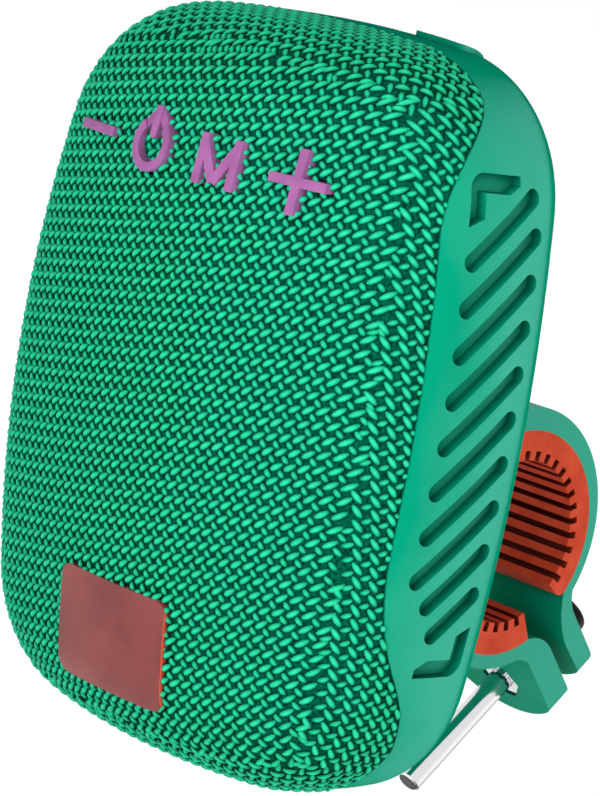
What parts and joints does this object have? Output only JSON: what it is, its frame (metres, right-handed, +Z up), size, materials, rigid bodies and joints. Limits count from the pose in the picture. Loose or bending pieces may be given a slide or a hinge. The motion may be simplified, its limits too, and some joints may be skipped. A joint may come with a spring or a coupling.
{
  "type": "portable bluetooth speaker with handlebar clamp",
  "caption": "Rounded fabric-fronted portable speaker with raised keys, a grooved plastic housing and a ribbed two-jaw clamp behind it for a handlebar.",
  "frame": {"origin": "on the handlebar's axis at the middle of the clamp's width", "axes": "+X along the handlebar, to the right of someone facing the speaker; -Y from the clamp towards the speaker, which faces -Y; +Z up"},
  "size_m": [0.084, 0.1068, 0.1213],
  "materials": {
    "fabric": "coarse woven polyester, green with dark gaps",
    "frame": "dark moulded plastic under the fabric",
    "housing": "satin green moulded plastic",
    "seal": "soft black foam rubber",
    "badge": "glossy brownish red plate, blank",
    "keys": "satin orchid rubber",
    "circuit_board": "green glass-epoxy board",
    "switch_body": "black moulded switch",
    "basket": "black pressed steel",
    "magnet": "zinc plated magnet cup",
    "cone": "black pressed cone",
    "surround": "soft black rubber roll",
    "screw_steel": "blackened steel",
    "battery": "shrink film over a flat cell",
    "socket_shell": "tinned steel shell",
    "flap": "soft green rubber",
    "clamp": "satin green moulded plastic",
    "liner": "soft red orange ribbed rubber",
    "pin_steel": "plain steel pin",
    "bolt_chrome": "bright plated screw and nut"
  },
  "bodies": {
    "root": {"fabric_cover": "fabric", "front_frame": "frame", "rear_housing": "housing", "housing_seal": "seal", "badge_plate": "badge", "key_board": "circuit_board", "key_switches": "switch_body", "driver_gasket": "seal", "driver_basket": "basket", "driver_magnet": "magnet", "driver_screws": "screw_steel", "battery_cell": "battery", "main_board": "circuit_board", "port_socket": "socket_shell", "housing_screws": "screw_steel", "clamp_base": "clamp", "foot_screws": "screw_steel", "lower_liner": "liner", "hinge_pin": "pin_steel", "clamp_nut": "bolt_chrome"},
    "minus_key": {"key_minus": "keys"},
    "power_key": {"key_power": "keys"},
    "mode_key": {"key_mode": "keys"},
    "plus_key": {"key_plus": "keys"},
    "cone": {"driver_cone": "cone", "driver_surround": "surround", "driver_dust_cap": "cone"},
    "port_flap": {"port_cover": "flap"},
    "bolt": {"clamp_bolt": "bolt_chrome"},
    "jaw": {"upper_jaw": "clamp", "upper_liner": "liner"}
  },
  "joints": [
    {"name": "minus_press", "type": "slide", "parent": "root", "child": "minus_key", "axis": [0, 1, 0], "range_m": [0, 0.0006], "stiffness_N_per_m": 400},
    {"name": "power_press", "type": "slide", "parent": "root", "child": "power_key", "axis": [0, 1, 0], "range_m": [0, 0.0006], "stiffness_N_per_m": 400},
    {"name": "mode_press", "type": "slide", "parent": "root", "child": "mode_key", "axis": [0, 1, 0], "range_m": [0, 0.0006], "stiffness_N_per_m": 400},
    {"name": "plus_press", "type": "slide", "parent": "root", "child": "plus_key", "axis": [0, 1, 0], "range_m": [0, 0.0006], "stiffness_N_per_m": 400},
    {"name": "cone_stroke", "type": "slide", "parent": "root", "child": "cone", "axis": [0, -1, 0], "range_m": [-0.0012, 0.0012], "stiffness_N_per_m": 1500},
    {"name": "port_flap_hinge", "type": "hinge", "parent": "root", "child": "port_flap", "pos_m": [-0.0075, -0.04525, -0.0328], "axis": [0, 1, 0], "range_deg": [0, 90]},
    {"name": "bolt_travel", "type": "slide", "parent": "root", "child": "bolt", "axis": [0, 0.7431, 0.6691], "range_m": [-0.0017, 0.0075]},
    {"name": "jaw_hinge", "type": "hinge", "parent": "root", "child": "jaw", "pos_m": [0, -0.01465, 0.0162], "axis": [1, 0, 0], "range_deg": [-2, 8]}
  ],
  "couplings": [
    {"joint": "jaw_hinge", "follows": "bolt_travel", "rad_per_m": 18.1}
  ]
}
